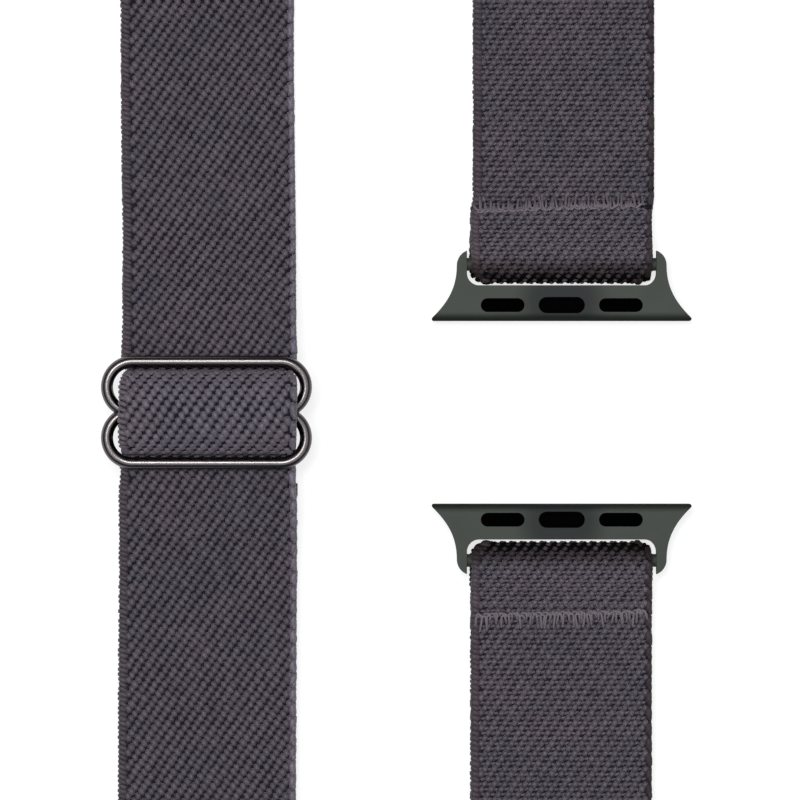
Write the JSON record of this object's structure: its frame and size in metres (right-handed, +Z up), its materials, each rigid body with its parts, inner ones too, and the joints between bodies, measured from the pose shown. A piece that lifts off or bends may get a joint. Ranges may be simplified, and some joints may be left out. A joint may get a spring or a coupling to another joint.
{
  "type": "watch band",
  "caption": "Woven elastic loop watch band with a wire slide for its length and a hinged, spring-latched lug at each end that slides into a watch case.",
  "frame": {"origin": "on the table, under the centre of the band's bounding box", "axes": "+X to the right across both runs, +Y along the runs from lug B towards lug A, +Z up from the table. The slide's run lies on the left with its outer face up, the run with the lugs on the right with its inner face up."},
  "size_m": [0.0728, 0.1484, 0.0224],
  "materials": {
    "webbing": "woven elastic polyester and nylon, twill face",
    "thread": "polyester sewing thread",
    "lug_metal": "bead-blasted steel with a dark matte coating",
    "slide_wire": "polished steel wire, dark gunmetal plating",
    "grip_rubber": "black elastomer",
    "latch_plastic": "black moulded acetal",
    "spring_steel": "bright spring wire"
  },
  "bodies": {
    "strap": {"turn_top": "webbing", "turn_bottom_outer": "webbing", "turn_bottom_inner": "webbing", "strand_right_top": "webbing", "strand_right_bottom_outer": "webbing", "strand_right_bottom_inner": "webbing", "strap_end_lug_a": "webbing", "strap_loop_lug_b": "webbing", "stitches_lug_a": "thread", "stitches_lug_b": "thread", "strand_left_top": "webbing", "strand_left_bottom_outer": "webbing", "strand_left_bottom_inner": "webbing"},
    "slide": {"slide_frame": "slide_wire", "strap_over_bar": "webbing", "centre_bar_fold": "webbing", "slide_seam": "thread"},
    "lug_a": {"lug_a_frame": "lug_metal", "lug_a_latch_guide": "latch_plastic", "lug_a_latch_springs": "spring_steel", "lug_a_pad_left": "grip_rubber", "lug_a_pad_right": "grip_rubber"},
    "lug_a_latch": {"lug_a_latch_plunger": "latch_plastic"},
    "lug_b": {"lug_b_frame": "lug_metal", "lug_b_latch_guide": "latch_plastic", "lug_b_latch_springs": "spring_steel", "lug_b_pad_left": "grip_rubber", "lug_b_pad_right": "grip_rubber"},
    "lug_b_latch": {"lug_b_latch_plunger": "latch_plastic"}
  },
  "joints": [
    {"name": "slide_travel", "type": "slide", "parent": "strap", "child": "slide", "axis": [0, 1, 0], "range_m": [-0.025, 0.025], "deforming": ["strand_left_top", "strand_left_bottom_outer", "strand_left_bottom_inner"]},
    {"name": "lug_a_pivot", "type": "hinge", "parent": "strap", "child": "lug_a", "pos_m": [0.02038, 0.0183, 0.00236], "axis": [1, 0, 0], "range_deg": [-90, 30]},
    {"name": "lug_b_pivot", "type": "hinge", "parent": "strap", "child": "lug_b", "pos_m": [0.02038, -0.0183, 0.00236], "axis": [1, 0, 0], "range_deg": [-30, 90]},
    {"name": "lug_a_latch_press", "type": "slide", "parent": "lug_a", "child": "lug_a_latch", "axis": [0, 0, 1], "range_m": [-0.0006, 0], "stiffness_N_per_m": 300, "springref_m": 0.0008, "deforming": ["lug_a_latch_springs"]},
    {"name": "lug_b_latch_press", "type": "slide", "parent": "lug_b", "child": "lug_b_latch", "axis": [0, 0, 1], "range_m": [-0.0006, 0], "stiffness_N_per_m": 300, "springref_m": 0.0008, "deforming": ["lug_b_latch_springs"]}
  ]
}
